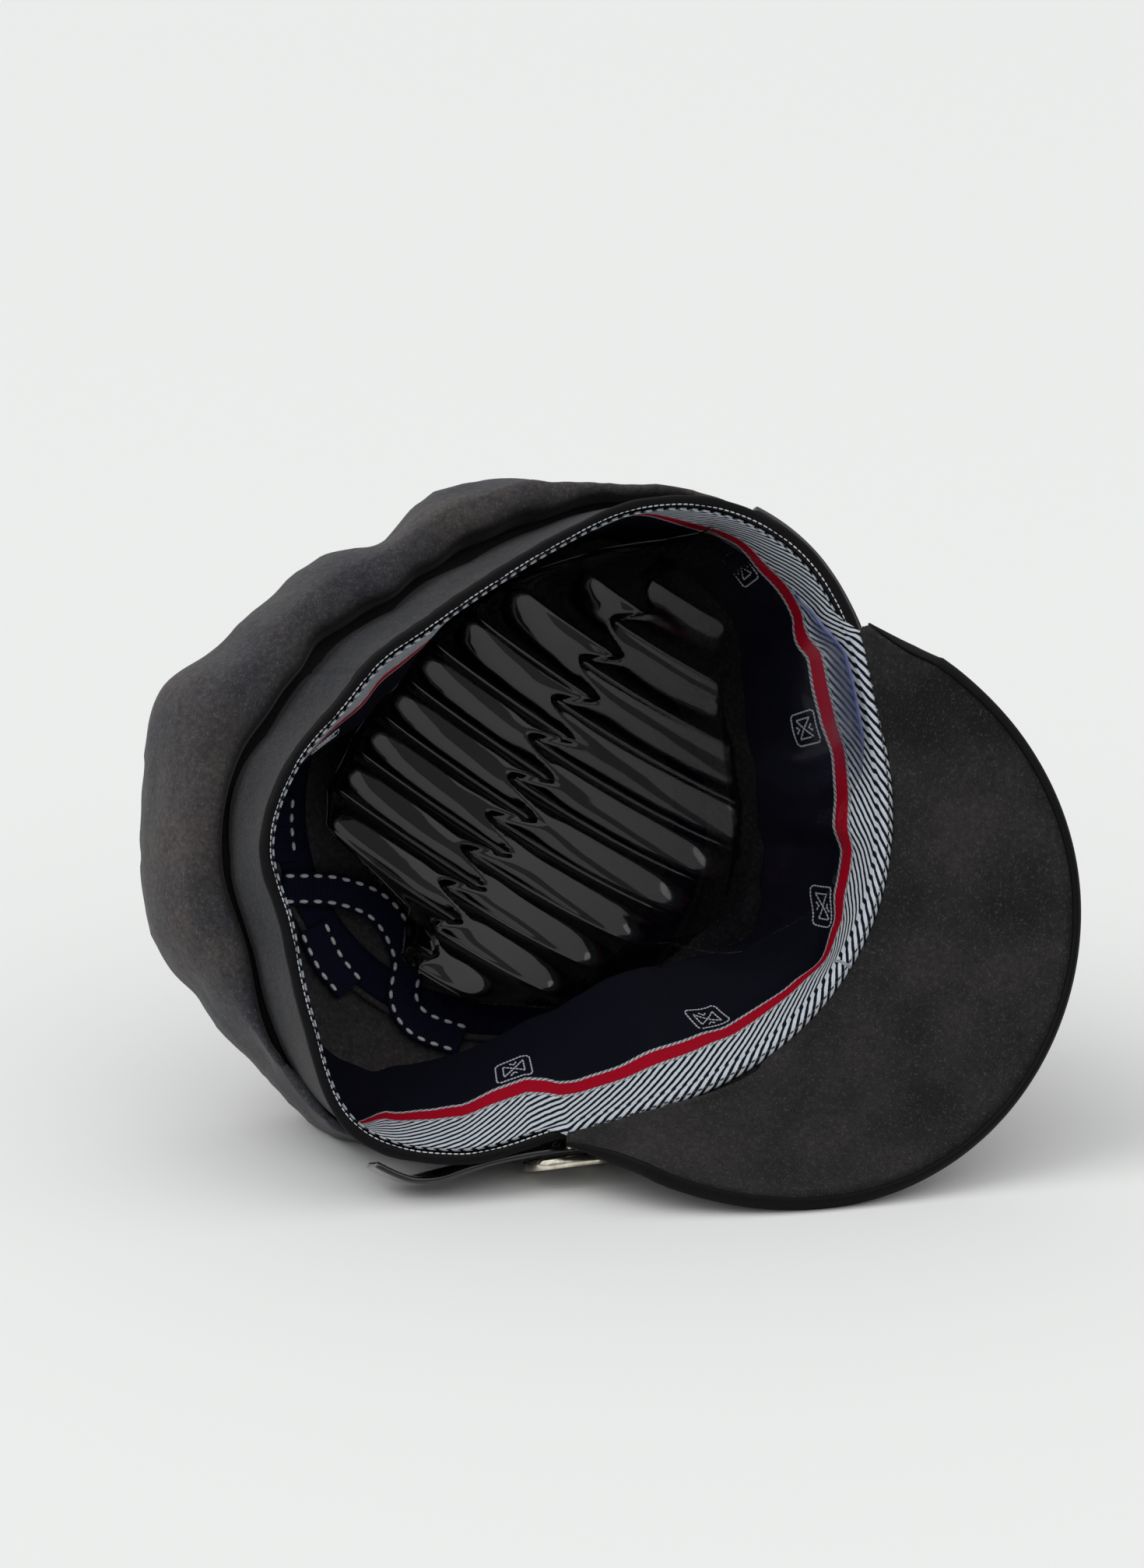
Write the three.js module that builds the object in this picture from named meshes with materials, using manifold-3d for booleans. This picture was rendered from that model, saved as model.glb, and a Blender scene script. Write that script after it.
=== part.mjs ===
// A soft marine cap: puffed crown, upright band, stiff peak, strap with a slide, ribbon sweatband and a
// clear pleated film that holds the crown out. It lies on its side, with the opening facing forwards.
//
// The pieces are shaped in the wearer's frame: X to the wearer's right, Y to the front, Z up, with the
// centre of the head opening as zero. Every point is then turned onto the surface that the cap lies on,
// where soft cloth is pressed flat. Lengths are millimetres and angles are degrees.
import * as THREE from 'three';
import { mergeVertices } from 'three/addons/utils/BufferGeometryUtils.js';
import Module from 'manifold-3d';

const wasm = await Module();
wasm.setup();

// Head opening, band and crown
const headRadius = 91;
const bandHeight = 38;
const bandWall = 2;
const crownRadius = 106;
const crownHeight = 90;
const crownWall = 2;
const puffHeight = 58;
const foldDrop = 6.5;
const foldReach = 4.6;
const topRadius = 68;
const topDish = 5.5;
const pieceGap = 0.3;

// Edging, sweatband and seam tapes
const edgingRadius = 1.6;
const ribbonLength = 42;
const ribbonWall = 1;
const ribbonLean = 70;
const ribbonInset = 1.2;
const tapeWidth = 10;
const tapeWall = 0.9;
const tapeDrop = 9;

// Peak
const peakLength = 59;
const peakWall = 3.2;
const peakSpread = 61;
const peakPitch = 24;
const peakBend = 159;
const peakFan = 1.55;
const peakTaper = 1.46;
const peakTail = 0.35;
const trimReach = 1.3;
const trimHeight = 4.6;

// Strap and slide
const strapWidth = 13;
const strapWall = 1.8;
const strapSpread = 86;
const strapRise = 11;
const strapSlack = 7;
const strapSeat = 1.1;
const slideAt = -57;
const slideLength = 22;
const slideHeight = 17.4;
const slideBar = 2.6;
const slideDepth = 3.2;
const slideTongue = 1.2;
const slideSeatGap = 0.9;

// Pleated film
const filmWall = 0.8;
const filmTop = 77;
const filmReach = 88;
const pleatPitch = 13;
const pleatDepth = 2.6;
const filmInset = 4.2;
const filmFlare = 11;

// How the cap lies: the opening looks up and to the right, and the peak points down
const openingUp = 20.9;
const openingTurn = 15.6;
const peakDrop = 36.7;

const sin = (degrees) => Math.sin(THREE.MathUtils.degToRad(degrees));
const cos = (degrees) => Math.cos(THREE.MathUtils.degToRad(degrees));
const { lerp, clamp } = THREE.MathUtils;

// The soft outline, at angles from the front towards the wearer's right. rim and top are the band's
// edges as shares of headRadius, puff the crown's widest line as a share of crownRadius, lean the
// ribbon's tilt into the opening as a share of ribbonLean, and slack the strap's distance from the
// band as a share of strapSlack.
const outline = [
  { at: 0, rim: 1.066, top: 1.088, puff: 1.057, lean: 0.45, slack: 0 },
  { at: 15, rim: 1.066, top: 1.088, puff: 1.057, lean: 0.48, slack: 0 },
  { at: 30, rim: 1.05, top: 1.077, puff: 1.057, lean: 0.5, slack: 0 },
  { at: 45, rim: 1.044, top: 1.071, puff: 1.057, lean: 0.5, slack: 0 },
  { at: 60, rim: 1.077, top: 1.099, puff: 1.057, lean: 0.42, slack: 0 },
  { at: 75, rim: 1.088, top: 1.1, puff: 1.044, lean: 0.28, slack: 0 },
  { at: 90, rim: 1.027, top: 1.066, puff: 0.992, lean: 0.2, slack: 0 },
  { at: 105, rim: 0.907, top: 0.967, puff: 0.894, lean: 0.02, slack: 0 },
  { at: 120, rim: 0.764, top: 0.835, puff: 0.896, lean: -0.1, slack: 0 },
  { at: 135, rim: 0.676, top: 0.764, puff: 0.878, lean: -0.13, slack: 0 },
  { at: 150, rim: 0.637, top: 0.731, puff: 0.847, lean: -0.06, slack: 0 },
  { at: 165, rim: 0.637, top: 0.731, puff: 0.857, lean: 0.1, slack: 0 },
  { at: 180, rim: 0.681, top: 0.78, puff: 0.906, lean: 0.17, slack: 0 },
  { at: 195, rim: 0.731, top: 0.83, puff: 1.012, lean: 0.14, slack: 0 },
  { at: 210, rim: 0.846, top: 0.923, puff: 1.027, lean: 0.05, slack: 0 },
  { at: 225, rim: 0.945, top: 0.978, puff: 1.051, lean: 0.05, slack: 0 },
  { at: 240, rim: 0.973, top: 1, puff: 1.054, lean: 0.05, slack: 0 },
  { at: 255, rim: 1.088, top: 1.11, puff: 1.025, lean: 0.05, slack: 0 },
  { at: 270, rim: 1.247, top: 1.176, puff: 1.036, lean: 0.45, slack: 0.25 },
  { at: 285, rim: 1.203, top: 1.11, puff: 1.057, lean: 0.62, slack: 1 },
  { at: 300, rim: 1.082, top: 1.04, puff: 1.057, lean: 0.66, slack: 0.75 },
  { at: 315, rim: 1.038, top: 1.035, puff: 1.057, lean: 0.75, slack: 0.45 },
  { at: 330, rim: 1.04, top: 1.05, puff: 1.057, lean: 0.8, slack: 0.15 },
  { at: 345, rim: 1.055, top: 1.077, puff: 1.057, lean: 0.65, slack: 0.1 },
];

// Folds pressed into the crown: width in degrees, depth as a share of foldReach
const crownFolds = [
  { at: 149, width: 7, depth: 0.9 },
  { at: 187, width: 5, depth: 0.8 },
  { at: 217, width: 9, depth: 0.5 },
  { at: 243, width: 6, depth: 0.45 },
  { at: 112, width: 8, depth: 0.5 },
  { at: 75, width: 8, depth: 0.5 },
  { at: 38, width: 9, depth: 0.5 },
  { at: 4, width: 8, depth: 0.5 },
  { at: 330, width: 9, depth: 0.5 },
];

// The film's lines from back to front: across is the line's place as a share of filmReach, back and
// front are its ends as shares of filmReach, and backUp and frontUp their heights as shares of filmTop.
const filmLines = [
  { across: -0.64, back: -0.06, front: 0.24, backUp: 0.74, frontUp: 0.72 },
  { across: -0.5, back: -0.12, front: 0.52, backUp: 0.72, frontUp: 0.6 },
  { across: -0.4, back: -0.49, front: 0.6, backUp: 0.8, frontUp: 0.52 },
  { across: -0.3, back: -0.55, front: 0.68, backUp: 0.8, frontUp: 0.46 },
  { across: -0.1, back: -0.57, front: 0.84, backUp: 0.78, frontUp: 0.3 },
  { across: 0.1, back: -0.57, front: 0.94, backUp: 0.76, frontUp: 0.12 },
  { across: 0.35, back: -0.54, front: 0.98, backUp: 0.74, frontUp: 0.08 },
  { across: 0.6, back: -0.42, front: 0.9, backUp: 0.6, frontUp: 0.06 },
  { across: 0.8, back: -0.24, front: 0.72, backUp: 0.4, frontUp: 0.06 },
  { across: 1, back: 0.02, front: 0.34, backUp: 0.16, frontUp: 0.08 },
];

// A column of a table that goes all the way round, read smoothly between its rows
function roundTable(table, column, at) {
  const step = 360 / table.length;
  const place = (((at % 360) + 360) % 360) / step;
  const row = Math.floor(place);
  const t = place - row;
  const value = (k) => table[(row + k + table.length) % table.length][column];
  const [a, b, c, d] = [value(-1), value(0), value(1), value(2)];
  return b + 0.5 * t * (c - a + t * (2 * a - 5 * b + 4 * c - d + t * (3 * (b - c) + d - a)));
}

// A column of a table that runs from one end to the other
function openTable(table, key, column, at) {
  const last = table.length - 1;
  const next = table.findIndex((row) => row[key] > at);
  const high = next < 0 ? last : Math.max(next, 1);
  const [from, to] = [table[high - 1], table[high]];
  const share = clamp((at - from[key]) / (to[key] - from[key]), 0, 1);
  return lerp(from[column], to[column], share);
}

const soft = (column, at) => roundTable(outline, column, at);
const rimRadius = (at) => headRadius * soft('rim', at);
const bandTopRadius = (at) => headRadius * soft('top', at);
const polar = (at, radius, height) => new THREE.Vector3(radius * sin(at), radius * cos(at), height);

// The turn from the wearer's frame to the surface
const crownward = new THREE.Vector3(
  -sin(openingTurn) * cos(openingUp),
  cos(openingTurn) * cos(openingUp),
  -sin(openingUp),
);
const level = new THREE.Vector3(cos(openingTurn), sin(openingTurn), 0);
const downward = crownward.clone().cross(level);
const frontward = level.clone().multiplyScalar(cos(peakDrop)).addScaledVector(downward, sin(peakDrop));
const rightward = frontward.clone().cross(crownward);
const turn = new THREE.Matrix4().makeBasis(rightward, frontward, crownward);

// One closed solid from rows of corner indices. Its faces are turned outwards by the sign of its volume.
function closedSolid(points, quads) {
  const triangles = [];
  for (const [a, b, c, d] of quads) {
    for (const [i, j, k] of [[a, b, c], [a, c, d]]) {
      if (i !== j && j !== k && k !== i) triangles.push(i, j, k);
    }
  }
  let volume = 0;
  for (let t = 0; t < triangles.length; t += 3) {
    const [a, b, c] = [points[triangles[t]], points[triangles[t + 1]], points[triangles[t + 2]]];
    volume += a.dot(b.clone().cross(c));
  }
  if (volume < 0) triangles.reverse();
  const geometry = new THREE.BufferGeometry().setFromPoints(points);
  geometry.setIndex(triangles);
  geometry.computeVertexNormals();
  return geometry;
}

// A grid of middle points, rows by columns, thickened to a wall of cloth, board or film. A round wall
// joins its last column to its first, and a last row whose points meet is a pole.
function wall(grid, thickness, round = false) {
  const rows = grid.length;
  const columns = grid[0].length;
  const pole = round && grid[rows - 1][0].distanceTo(grid[rows - 1][1]) < 1e-6;
  const column = (i) => (round ? (i + columns) % columns : clamp(i, 0, columns - 1));
  const row = (j) => clamp(j, 0, rows - 1);
  const points = [];
  const index = [[], []];
  grid.forEach((line, j) => {
    line.forEach((middle, i) => {
      const along = grid[j][column(i + 1)].clone().sub(grid[j][column(i - 1)]);
      const across = grid[row(j + 1)][i].clone().sub(grid[row(j - 1)][i]);
      if (pole && j === rows - 1) {
        along.subVectors(grid[j - 1][Math.round(columns / 4)], grid[j - 1][0]);
        across.subVectors(grid[j - 1][Math.round(columns / 2)], grid[j - 1][0]);
      }
      const normal = across.cross(along).normalize();
      [0.5, -0.5].forEach((side, face) => {
        const shared = pole && j === rows - 1 && i > 0;
        index[face].push(shared ? index[face][j * columns] : points.length);
        if (!shared) points.push(middle.clone().addScaledVector(normal, side * thickness));
      });
    });
  });
  const at = (face, j, i) => index[face][j * columns + column(i)];
  const quads = [];
  const spans = round ? columns : columns - 1;
  for (let j = 0; j < rows - 1; j++) {
    for (let i = 0; i < spans; i++) {
      quads.push([at(0, j, i), at(0, j, i + 1), at(0, j + 1, i + 1), at(0, j + 1, i)]);
      quads.push([at(1, j, i), at(1, j + 1, i), at(1, j + 1, i + 1), at(1, j, i + 1)]);
    }
    if (!round) {
      quads.push([at(0, j, 0), at(0, j + 1, 0), at(1, j + 1, 0), at(1, j, 0)]);
      const end = columns - 1;
      quads.push([at(0, j, end), at(1, j, end), at(1, j + 1, end), at(0, j + 1, end)]);
    }
  }
  for (let i = 0; i < spans; i++) {
    quads.push([at(0, 0, i), at(1, 0, i), at(1, 0, i + 1), at(0, 0, i + 1)]);
    const end = rows - 1;
    if (!pole) quads.push([at(0, end, i), at(0, end, i + 1), at(1, end, i + 1), at(1, end, i)]);
  }
  return closedSolid(points, quads);
}

// A bar through a row of sections, each a ring of points. An open bar has flat ends.
function bar(sections, round) {
  const sides = sections[0].length;
  const points = sections.flat();
  const at = (j, i) => (j % sections.length) * sides + (i % sides);
  const quads = [];
  const spans = round ? sections.length : sections.length - 1;
  for (let j = 0; j < spans; j++) {
    for (let i = 0; i < sides; i++) {
      quads.push([at(j, i), at(j, i + 1), at(j + 1, i + 1), at(j + 1, i)]);
    }
  }
  if (!round) {
    const last = sections.length - 1;
    for (let i = 1; i < sides - 1; i++) {
      quads.push([at(0, 0), at(0, i + 1), at(0, i), at(0, 0)]);
      quads.push([at(last, 0), at(last, i), at(last, i + 1), at(last, 0)]);
    }
  }
  return closedSolid(points, quads);
}

const steps = (count, from, to) =>
  Array.from({ length: count + 1 }, (_, k) => lerp(from, to, k / count));
const roundSteps = (count) => Array.from({ length: count }, (_, k) => (k * 360) / count);

// The peak: lines fan out from the rim, pitched down and bent over from side to side. Its width tapers as a
// power of a cosine, which is lower near the ends.
const peakGap = edgingRadius + pieceGap * 2;
function peakPoint(at, share) {
  const start = polar(at, rimRadius(at), 0);
  const aside = Math.abs(at / peakSpread);
  const width = peakLength * Math.pow(cos(aside * 90), peakTaper - peakTail * aside ** 4);
  const reach = Math.max(width * share, peakGap);
  const side = clamp(peakFan * sin(at), -1, 1);
  const point = start.clone();
  point.x += side * reach * cos(peakPitch);
  point.y += Math.sqrt(1 - side * side) * reach * cos(peakPitch);
  const bend = (point.x ** 2 - start.x ** 2) / (2 * peakBend);
  point.z = -reach * sin(peakPitch) - bend;
  return point;
}
const peakEnd = peakSpread - 3.5;
const peakAngles = steps(36, -peakEnd, peakEnd);

// The surface lies under the peak's trim, the lowest stiff thing on the turned cap
const trimCentre = (at) => {
  const edge = peakPoint(at, 1);
  const outward = edge.clone().sub(peakPoint(at, 0.9)).normalize();
  return { outward, middle: edge.addScaledVector(outward, trimReach + pieceGap) };
};
const trimSections = peakAngles.map((at) => {
  const { outward, middle } = trimCentre(at);
  const ahead = trimCentre(at + 1).middle.sub(trimCentre(at - 1).middle).normalize();
  const upward = ahead.cross(outward).normalize();
  return steps(7, 0, 315).map((k) =>
    middle
      .clone()
      .addScaledVector(outward, trimReach * cos(k))
      .addScaledVector(upward, (trimHeight / 2) * sin(k))
      .applyMatrix4(turn),
  );
});
const lift = -Math.min(...trimSections.flat().map((point) => point.z));
trimSections.flat().forEach((point) => {
  point.z += lift;
});

// A point of a stiff piece, or of a soft one whose middle stays a clearance above the surface
const laid = (point, clearance = -Infinity) => {
  const placed = point.clone().applyMatrix4(turn);
  placed.z = Math.max(placed.z + lift, clearance);
  return placed;
};

// The crown's side at an angle: from the band's top out under the fold, round the puff and in to the
// seam of the round top. The folds are deepest at the widest line.
function crownSide(at, share) {
  const seam = bandTopRadius(at);
  const widest = Math.max(crownRadius * soft('puff', at), seam + 5);
  const foldLine = bandHeight - foldDrop;
  const reach = seam + Math.min(foldReach, (widest - seam) * 0.6);
  const stations = [
    [seam - 0.6, bandHeight + pieceGap + 1.2],
    [seam + 2.8, bandHeight + pieceGap + 1],
    [Math.max(reach - 0.6, seam + 3.3), foldLine + 1.6],
    [lerp(reach, widest, 0.16), foldLine],
    [lerp(reach, widest, 0.5), foldLine + 0.8],
    [lerp(reach, widest, 0.8), lerp(foldLine, puffHeight, 0.3)],
    [lerp(reach, widest, 0.95), lerp(foldLine, puffHeight, 0.66)],
    [widest, puffHeight],
    [widest - 2.5, lerp(puffHeight, crownHeight - topDish, 0.46)],
    [lerp(topRadius, widest, 0.66), lerp(puffHeight, crownHeight - topDish, 0.86)],
    [topRadius + pieceGap, crownHeight - topDish],
  ];
  const place = share * (stations.length - 1);
  const k = Math.min(Math.floor(place), stations.length - 2);
  const radius = lerp(stations[k][0], stations[k + 1][0], place - k);
  const height = lerp(stations[k][1], stations[k + 1][1], place - k);
  const press = crownFolds.reduce((sum, fold) => {
    const away = THREE.MathUtils.euclideanModulo(at - fold.at + 180, 360) - 180;
    return sum + fold.depth * Math.exp(-((away / fold.width) ** 2));
  }, 0);
  const strength = clamp((share - 0.3) / 0.3, 0, 1) * clamp((1 - share) / 0.3, 0, 1);
  return polar(at, radius - foldReach * press * strength, height);
}
const topHeight = (share) => crownHeight - topDish * share * share;
const crownTop = (at, share) => polar(at, (topRadius - pieceGap) * share, topHeight(share));

// Along the sweatband: from its seam inside the rim to its free edge
const ribbonStart = (at) => rimRadius(at) - edgingRadius - pieceGap - ribbonWall / 2 - 0.2;
const ribbonTilt = (at) => ribbonLean * soft('lean', at);
function ribbonPoint(at, share) {
  const reach = ribbonLength * share;
  const tilt = ribbonTilt(at);
  return polar(at, ribbonStart(at) - reach * sin(tilt), ribbonInset + reach * cos(tilt));
}

// The film: lines run from back to front over the dome, and pleats bulge into the opening
function filmPoint(across, share) {
  const line = (column) => openTable(filmLines, 'across', column, across);
  const rise = across > 0 ? Math.sqrt(1 - across * across) : 1 - 0.35 * across * across;
  const peak = filmTop * rise;
  const theta = lerp(-90, 90, share);
  const end = line(theta < 0 ? 'back' : 'front') * filmReach;
  const endUp = line(theta < 0 ? 'backUp' : 'frontUp') * filmTop;
  const crest = 0.12 * filmReach * (1 - Math.abs(across));
  const y = lerp(crest, end, Math.abs(sin(theta)));
  const z = lerp(Math.min(endUp, peak), peak, cos(theta));
  const pleat = Math.abs(sin((across * filmReach * 180) / pleatPitch));
  const depth = pleatDepth * (theta < 0 ? 1 : cos(theta * 0.9));
  const point = new THREE.Vector3(across * filmReach, y, z - depth * pleat);
  const at = THREE.MathUtils.radToDeg(Math.atan2(point.x, point.y));
  const tilt = ribbonTilt(at);
  const freeHeight = ribbonInset + ribbonLength * cos(tilt);
  const inside = ribbonStart(at) - (Math.min(point.z, freeHeight) - ribbonInset) * Math.tan(
    THREE.MathUtils.degToRad(tilt)) - filmInset / cos(tilt);
  const limit = inside + Math.max(point.z - freeHeight - filmFlare, 0);
  const reach = Math.min(1, limit / Math.hypot(point.x, point.y));
  point.x *= reach;
  point.y *= reach;
  return point;
}

// A point of the strap, which lies flat where it meets the surface and isn't twisted under the slide
function strapPoint(at, share) {
  const stand = strapSeat + strapWall / 2 + strapSlack * soft('slack', at);
  const radius = lerp(rimRadius(at), bandTopRadius(at), strapRise / bandHeight) + bandWall / 2;
  const raw = (k) => laid(polar(at, radius + stand, strapRise + strapWidth * (k - 0.5)));
  const underSlide = Math.exp(-(((at - slideAt) / 20) ** 4));
  const clearance = strapWall / 2 + (slideDepth + slideSeatGap * 2) * underSlide;
  const point = raw(share);
  const raised = point.z + Math.max(0, clearance - Math.min(raw(0).z, raw(1).z));
  point.z = lerp(Math.max(point.z, clearance), raised, underSlide);
  return point;
}

// A tape hangs along a path, flat to the opening
function tapeGrid(path) {
  const middles = path.map(
    (row) =>
      new THREE.Vector3(row.across * topRadius, row.ahead * topRadius, crownHeight - row.below * tapeDrop),
  );
  const curve = new THREE.CatmullRomCurve3(middles);
  const stations = steps(path.length * 4, 0, 1).map((share) => {
    const ahead = curve.getTangent(share);
    const side = new THREE.Vector3(ahead.y, -ahead.x, 0).normalize();
    return { middle: curve.getPoint(share), side };
  });
  return [-0.5, 0.5].map((half) =>
    stations.map(({ middle, side }) =>
      laid(middle.clone().addScaledVector(side, half * tapeWidth), crownWall * 2),
    ),
  );
}

const cloth = { color: 0x2b2b2e, roughness: 0.85, metalness: 0 };
const looks = {
  cloth: new THREE.MeshStandardMaterial(cloth),
  edging: new THREE.MeshStandardMaterial({ color: 0x0b0b0d, roughness: 0.5, metalness: 0 }),
  ribbon: new THREE.MeshStandardMaterial({ color: 0x9aa3b0, roughness: 0.8, metalness: 0 }),
  tape: new THREE.MeshStandardMaterial({ color: 0x0d1024, roughness: 0.85, metalness: 0 }),
  strap: new THREE.MeshStandardMaterial({ color: 0x060607, roughness: 0.18, metalness: 0 }),
  metal: new THREE.MeshStandardMaterial({ color: 0xd9cfae, roughness: 0.2, metalness: 1 }),
  film: new THREE.MeshStandardMaterial({ color: 0x11131a, roughness: 0.08, metalness: 0 }),
};
const cap = new THREE.Group();
function add(name, geometry, look) {
  const mesh = new THREE.Mesh(geometry, look);
  mesh.name = name;
  cap.add(mesh);
  return mesh;
}

const crownAngles = roundSteps(60);
const onSurface = crownWall / 2;
const sideGrid = steps(10, 0, 1).map((share) =>
  crownAngles.map((at) => laid(crownSide(at, share), onSurface)),
);
add('crown_side', wall(sideGrid, crownWall, true), looks.cloth);

const topGrid = [1, 0.75, 0.45, 0].map((share) =>
  crownAngles.map((at) => laid(crownTop(at, share), onSurface)),
);
add('crown_top', wall(topGrid, crownWall, true), looks.cloth);

const bandFoot = edgingRadius + pieceGap;
const bandGrid = steps(3, 0, 1).map((share) =>
  crownAngles.map((at) => {
    const radius = lerp(rimRadius(at), bandTopRadius(at), share);
    const height = lerp(bandFoot, bandHeight - pieceGap, share);
    return laid(polar(at, radius, height), onSurface + crownWall + pieceGap * 2);
  }),
);
add('band', wall(bandGrid, bandWall, true), looks.cloth);

const edgingSections = roundSteps(72).map((at) =>
  steps(5, 0, 300).map((k) =>
    laid(polar(at, rimRadius(at) + edgingRadius * cos(k), edgingRadius * sin(k))),
  ),
);
add('rim_edging', bar(edgingSections, true), looks.edging);

const ribbonGrid = steps(4, 0, 1).map((share) =>
  roundSteps(72).map((at) => laid(ribbonPoint(at, share))),
);
add('sweatband', wall(ribbonGrid, ribbonWall, true), looks.ribbon);

const peakGrid = [0, 0.3, 0.65, 1].map((share) => peakAngles.map((at) => laid(peakPoint(at, share))));
add('peak', wall(peakGrid, peakWall), looks.cloth);
add('peak_trim', bar(trimSections, false), looks.edging);

const strapGrid = [0, 1].map((share) =>
  steps(40, -strapSpread, strapSpread).map((at) => strapPoint(at, share)),
);
add('strap', wall(strapGrid, strapWall), looks.strap);

// The slide: a frame in front of the strap and a tongue behind it, joined at the strap's edges
function solid(geometry, matrix) {
  const bare = geometry.clone();
  bare.deleteAttribute('normal');
  bare.deleteAttribute('uv');
  const merged = mergeVertices(bare.applyMatrix4(matrix));
  return new wasm.Manifold(
    new wasm.Mesh({
      numProp: 3,
      vertProperties: merged.attributes.position.array,
      triVerts: new Uint32Array(merged.index.array),
    }),
  );
}
const box = (x, y, z, px, py, pz) =>
  solid(new THREE.BoxGeometry(x, y, z), new THREE.Matrix4().makeTranslation(px, py, pz));
function slideSolid() {
  const behind = strapWall + slideSeatGap * 2;
  const frame = box(slideLength, slideHeight, slideDepth, 0, 0, slideDepth / 2).subtract(
    box(slideLength - 2 * slideBar, slideHeight - 2 * slideBar, slideDepth * 3, 0, 0, 0),
  );
  const tongue = box(slideBar, slideHeight, slideTongue, 0, 0, -behind - slideTongue / 2);
  const legDepth = behind + slideTongue + slideDepth / 2;
  const legWidth = (slideHeight - strapWidth) / 2 - pieceGap * 2;
  const legs = [-1, 1].map((side) =>
    box(slideBar, legWidth, legDepth, 0, (side * (slideHeight - legWidth)) / 2, slideDepth / 2 - legDepth / 2),
  );
  return [tongue, ...legs].reduce((whole, piece) => whole.add(piece), frame);
}
const slideMesh = slideSolid().getMesh();
const slideGeometry = new THREE.BufferGeometry();
slideGeometry.setAttribute('position', new THREE.BufferAttribute(slideMesh.vertProperties, 3));
slideGeometry.setIndex(new THREE.BufferAttribute(slideMesh.triVerts, 1));
const slideUp = strapPoint(slideAt, 1).sub(strapPoint(slideAt, 0)).normalize();
const slideAlong = strapPoint(slideAt + 4, 0.5).sub(strapPoint(slideAt - 4, 0.5)).normalize();
const slideOut = slideUp.clone().cross(slideAlong).normalize();
const slideSeat = strapPoint(slideAt, 0.5).addScaledVector(slideOut, strapWall / 2 + slideSeatGap);
const slidePlace = new THREE.Matrix4()
  .makeBasis(slideAlong, slideOut.clone().cross(slideAlong), slideOut)
  .setPosition(slideSeat);
add('slide', slideGeometry.applyMatrix4(slidePlace), looks.metal);

const filmEnds = [-0.64, 1];
const pleatShare = pleatPitch / filmReach / 4;
const filmColumns = [];
for (let k = Math.ceil(filmEnds[0] / pleatShare); k * pleatShare <= filmEnds[1]; k++) {
  filmColumns.push(k * pleatShare);
}
const filmGrid = steps(12, 0, 1).map((share) =>
  filmColumns.map((across) => laid(filmPoint(across, share), crownWall * 2 + filmWall)),
);
add('crown_film', wall(filmGrid, filmWall), looks.film);

// Tapes inside the top: one covers the seam all round, and three have come loose and hang. Their
// paths are shares of topRadius and, below the crown's height, of tapeDrop.
const hangingTapes = {
  tape_back: [
    { across: -0.46, ahead: -0.84, below: 0.97 },
    { across: -0.57, ahead: -0.78, below: 0.97 },
    { across: -0.7, ahead: -0.68, below: 0.97 },
  ],
  tape_cross: [
    { across: -0.8, ahead: -0.62, below: 1.01 },
    { across: -0.68, ahead: -0.41, below: 1.1 },
    { across: -0.65, ahead: -0.2, below: 1.2 },
    { across: -0.76, ahead: 0, below: 1.05 },
    { across: -0.92, ahead: 0.08, below: 1.02 },
    { across: -0.98, ahead: 0.2, below: 1.04 },
    { across: -0.94, ahead: 0.4, below: 1.05 },
  ],
  tape_loose: [
    { across: -0.87, ahead: -0.42, below: 0.98 },
    { across: -0.96, ahead: -0.28, below: 1 },
    { across: -1.01, ahead: -0.14, below: 1.02 },
  ],
};
const ringGrid = [-0.5, 0.5].map((side) =>
  roundSteps(60).map((at) => {
    const radius = topRadius - tapeWidth * (0.6 - side);
    const under = crownWall / 2 + pieceGap * 2 + tapeWall / 2;
    return laid(polar(at, radius, topHeight(radius / topRadius) - under), crownWall + tapeWall);
  }),
);
add('tape_ring', wall(ringGrid, tapeWall, true), looks.tape);
for (const [name, path] of Object.entries(hangingTapes)) {
  add(name, wall(tapeGrid(path), tapeWall), looks.tape);
}

cap.updateMatrixWorld(true);
const bounds = new THREE.Box3().setFromObject(cap);
const middle = bounds.getCenter(new THREE.Vector3());
cap.position.set(-middle.x, -middle.y, 0);

export default cap;
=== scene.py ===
import math

import bpy
import numpy as np
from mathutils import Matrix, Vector, noise


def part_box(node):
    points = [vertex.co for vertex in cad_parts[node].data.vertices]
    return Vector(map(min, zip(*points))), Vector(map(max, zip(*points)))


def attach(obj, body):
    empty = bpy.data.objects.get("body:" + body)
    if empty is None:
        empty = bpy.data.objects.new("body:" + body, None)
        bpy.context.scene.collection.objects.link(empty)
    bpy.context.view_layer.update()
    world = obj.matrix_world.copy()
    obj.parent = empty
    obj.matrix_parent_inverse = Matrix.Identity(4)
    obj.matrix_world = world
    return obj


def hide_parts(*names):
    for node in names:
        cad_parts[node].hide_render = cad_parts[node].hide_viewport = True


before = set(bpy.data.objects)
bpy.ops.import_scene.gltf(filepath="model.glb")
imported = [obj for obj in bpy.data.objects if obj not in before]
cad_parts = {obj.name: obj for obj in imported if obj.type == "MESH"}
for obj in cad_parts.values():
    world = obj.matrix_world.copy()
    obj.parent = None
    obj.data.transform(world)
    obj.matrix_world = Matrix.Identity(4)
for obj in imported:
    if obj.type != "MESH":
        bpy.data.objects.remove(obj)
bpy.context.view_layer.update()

scene = bpy.context.scene

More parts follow.
